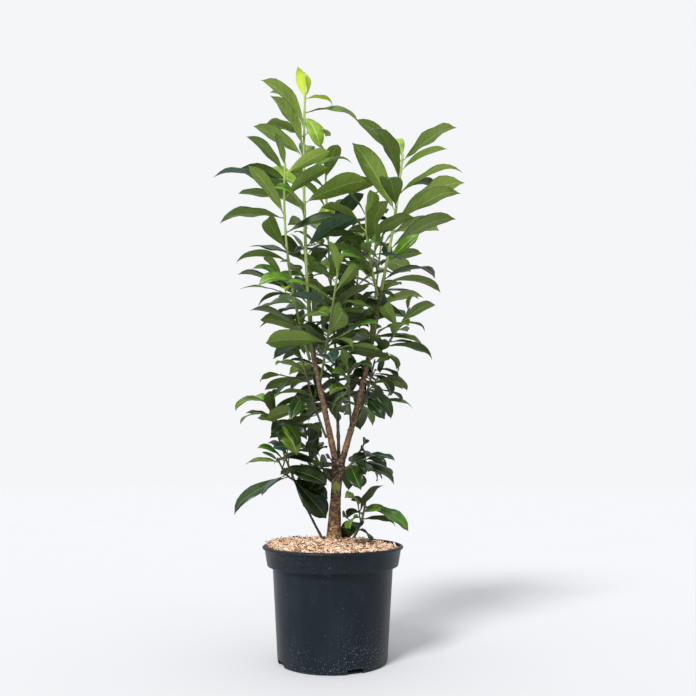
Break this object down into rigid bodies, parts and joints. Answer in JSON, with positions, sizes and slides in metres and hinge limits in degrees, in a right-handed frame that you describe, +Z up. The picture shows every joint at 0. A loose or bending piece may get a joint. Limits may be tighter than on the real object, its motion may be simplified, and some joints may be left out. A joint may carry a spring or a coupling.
{
  "type": "potted cherry laurel",
  "caption": "Young evergreen laurel shrub with glossy leaves on upright shoots, in a black nursery pot topped with bark chips.",
  "frame": {"origin": "centre of the pot's flat underside, on the level surface that it stands on", "axes": "+Z up along the pot's axis and the trunk; -Y is the front, with the low shoot at -X"},
  "size_m": [0.523, 0.4086, 1.2294],
  "materials": {
    "pot": "moulded, satin",
    "mulch": "loose bark chips on compost",
    "bark": "thin brown bark with pale pores",
    "leaf": "leathery, glossy above and dull below"
  },
  "bodies": {
    "root": {"pot": "pot", "chip_mulch": "mulch", "trunk": "bark", "left_bough": "bark", "right_bough": "bark", "back_bough": "bark", "low_left_stem": "bark", "left_leader": "leaf", "left_outer": "leaf", "right_leader": "leaf", "centre_leader": "leaf", "right_inner": "leaf", "right_outer": "leaf", "middle_shoot": "leaf", "front_shoot": "leaf", "back_left_shoot": "leaf", "back_right_shoot": "leaf", "left_spur": "leaf", "right_spur": "leaf", "front_spur": "leaf", "back_spur": "leaf", "trunk_left_twig": "leaf", "trunk_right_twig": "leaf", "low_left_shoot": "leaf", "low_left_twigs": "leaf", "low_right_shoot": "leaf"}
  },
  "joints": []
}
